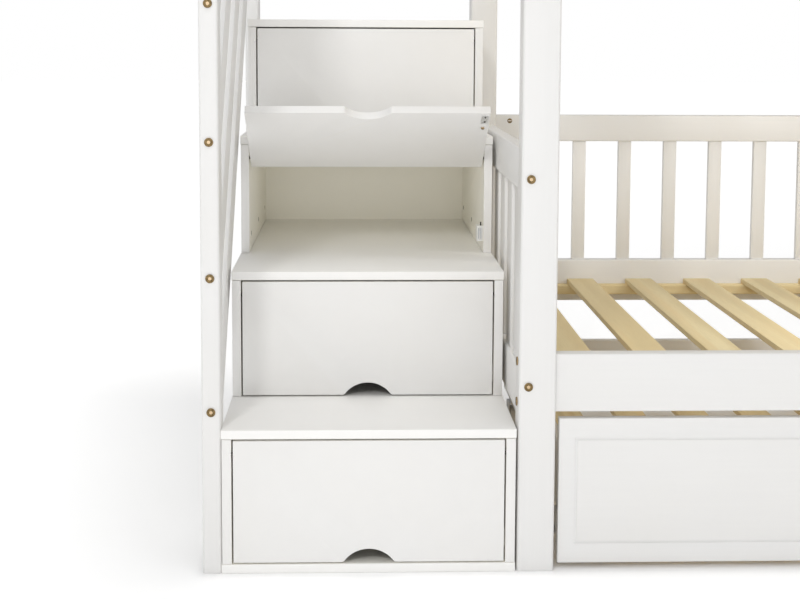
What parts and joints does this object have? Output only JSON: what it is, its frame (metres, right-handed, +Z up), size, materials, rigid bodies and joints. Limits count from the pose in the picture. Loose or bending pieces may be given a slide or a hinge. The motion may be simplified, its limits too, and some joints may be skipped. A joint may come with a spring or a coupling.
{
  "type": "bunk bed with storage stairs",
  "caption": "Two-level bunk bed in white painted wood with storage stairs at its left end, drop-front flaps in the risers, a slanted-board railing, pine slats and a pull-out trundle.",
  "frame": {"origin": "on the floor below the middle of the whole bed", "axes": "+Z up, +X along the bed away from the stairs, -Y to the front, where the stairs start"},
  "size_m": [2.5086, 1.099, 1.6],
  "materials": {
    "white_wood": "satin white paint",
    "pine": "unfinished pine",
    "steel": "plain",
    "zinc_steel": "zinc plated",
    "bronze": "antique bronze",
    "white_plastic": "matt",
    "wheel_plastic": "matt"
  },
  "bodies": {
    "bed": {"bed_post_front_left": "white_wood", "bed_post_front_right": "white_wood", "bed_post_rear_left": "white_wood", "bed_post_rear_right": "white_wood", "bolts": "bronze", "entry_post": "white_wood", "entry_rail": "white_wood", "entry_slats": "white_wood", "flap_pins": "steel", "landing_guard_rails": "white_wood", "lower_end_bottom_rails": "white_wood", "lower_end_slats": "white_wood", "lower_end_top_rails": "white_wood", "lower_guard_rail": "white_wood", "lower_guard_slats": "white_wood", "lower_ledgers": "pine", "lower_side_rails": "white_wood", "lower_slats": "pine", "magnet_catches": "white_plastic", "railing_boards": "white_wood", "railing_top_rail": "white_wood", "stair_back_panel": "white_wood", "stair_floor_board": "white_wood", "stair_post_front": "white_wood", "stair_post_rear": "white_wood", "stair_sides_1": "white_wood", "stair_sides_2": "white_wood", "stair_sides_3": "white_wood", "stair_sides_4": "white_wood", "stair_tread_1": "white_wood", "stair_tread_2": "white_wood", "stair_tread_3": "white_wood", "stair_tread_4": "white_wood", "upper_end_bottom_rails": "white_wood", "upper_end_slats": "white_wood", "upper_end_top_rail": "white_wood", "upper_guard_rails": "white_wood", "upper_guard_slats": "white_wood", "upper_ledgers": "pine", "upper_side_rails": "white_wood", "upper_slats": "pine"},
    "flap_body_1": {"flap_1": "white_wood", "strike_plate_1": "steel"},
    "wheel_body_1": {"wheel_1": "wheel_plastic"},
    "flap_body_2": {"flap_2": "white_wood", "strike_plate_2": "steel"},
    "wheel_body_2": {"wheel_2": "wheel_plastic"},
    "flap_body_3": {"flap_3": "white_wood", "strike_plate_3": "steel"},
    "wheel_body_3": {"wheel_3": "wheel_plastic"},
    "flap_body_4": {"flap_4": "white_wood", "strike_plate_4": "steel"},
    "wheel_body_4": {"wheel_4": "wheel_plastic"},
    "trundle": {"trundle_front": "white_wood", "trundle_back": "white_wood", "trundle_ends": "white_wood", "trundle_bearers": "pine", "trundle_slats": "pine", "caster_forks": "zinc_steel", "caster_axles": "steel"}
  },
  "joints": [
    {"name": "flap_1_pivot", "type": "hinge", "parent": "bed", "child": "flap_body_1", "pos_m": [-0.97225, -0.5395, 0.206], "axis": [-1, 0, 0], "range_deg": [0, 123.5]},
    {"name": "flap_2_pivot", "type": "hinge", "parent": "bed", "child": "flap_body_2", "pos_m": [-0.97225, -0.3115, 0.439], "axis": [-1, 0, 0], "range_deg": [0, 123.5]},
    {"name": "flap_3_pivot", "type": "hinge", "parent": "bed", "child": "flap_body_3", "pos_m": [-0.97225, -0.0835, 0.672], "axis": [-1, 0, 0], "range_deg": [-123.5, 0]},
    {"name": "flap_4_pivot", "type": "hinge", "parent": "bed", "child": "flap_body_4", "pos_m": [-0.97225, 0.1445, 0.905], "axis": [-1, 0, 0], "range_deg": [0, 123.5]},
    {"name": "trundle_roll", "type": "slide", "parent": "bed", "child": "trundle", "axis": [0, -1, 0], "range_m": [0, 0.9]},
    {"name": "wheel_1_spin", "type": "hinge", "parent": "trundle", "child": "wheel_body_1", "pos_m": [-0.61925, -0.399, 0.025], "axis": [1, 0, 0], "continuous": true},
    {"name": "wheel_2_spin", "type": "hinge", "parent": "trundle", "child": "wheel_body_2", "pos_m": [1.15175, -0.399, 0.025], "axis": [1, 0, 0], "continuous": true},
    {"name": "wheel_3_spin", "type": "hinge", "parent": "trundle", "child": "wheel_body_3", "pos_m": [-0.61925, 0.377, 0.025], "axis": [1, 0, 0], "continuous": true},
    {"name": "wheel_4_spin", "type": "hinge", "parent": "trundle", "child": "wheel_body_4", "pos_m": [1.15175, 0.377, 0.025], "axis": [1, 0, 0], "continuous": true}
  ]
}
